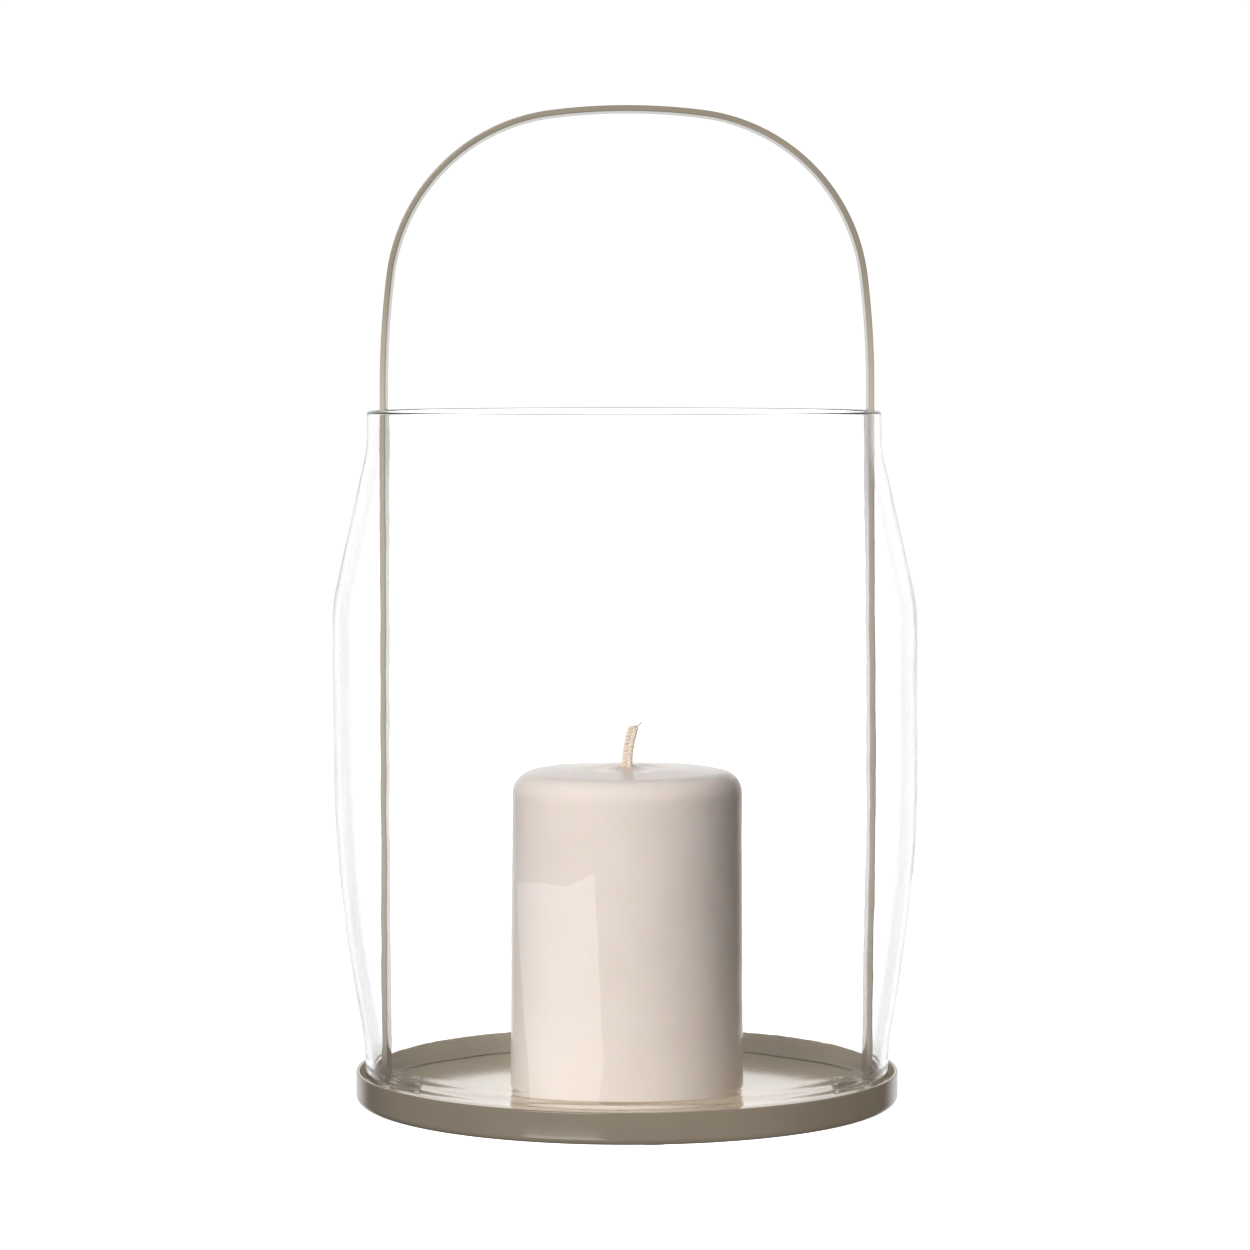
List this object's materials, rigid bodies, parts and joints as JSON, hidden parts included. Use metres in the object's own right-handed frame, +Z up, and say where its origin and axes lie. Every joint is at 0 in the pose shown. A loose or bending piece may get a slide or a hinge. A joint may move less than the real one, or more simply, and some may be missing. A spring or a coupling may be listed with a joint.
{
  "type": "hurricane candle lantern",
  "caption": "Candle lantern: a clear barrel glass stands open-ended on a round tray with a tall flat-band handle, round a pillar candle.",
  "frame": {"origin": "on the surface it stands on, under the centre of the tray", "axes": "+Z up; the handle's band lies in the XZ plane; the front faces -Y"},
  "size_m": [0.1753, 0.1753, 0.2994],
  "materials": {
    "coat": "satin greige powder coat",
    "screw_steel": "zinc plated",
    "pad_rubber": "matte grey rubber",
    "clear_glass": "clear, slightly uneven blown glass",
    "wax": "ivory candle wax, soft satin",
    "wick_cotton": "waxed cotton braid",
    "tinplate": "bright tinplate"
  },
  "bodies": {
    "stand": {"tray": "coat", "handle_band": "coat", "foot_screw_left": "screw_steel", "foot_screw_right": "screw_steel", "base_pad_front": "pad_rubber", "base_pad_rear_right": "pad_rubber", "base_pad_rear_left": "pad_rubber"},
    "glass": {"glass_shade": "clear_glass"},
    "candle": {"candle_body": "wax", "candle_wick": "wick_cotton", "wick_sustainer": "tinplate"}
  },
  "joints": [
    {"name": "glass_lift", "type": "slide", "parent": "stand", "child": "glass", "axis": [0, 0, 1], "range_m": [0, 0.3]},
    {"name": "candle_lift", "type": "slide", "parent": "stand", "child": "candle", "axis": [0, 0, 1], "range_m": [0, 0.175]}
  ]
}
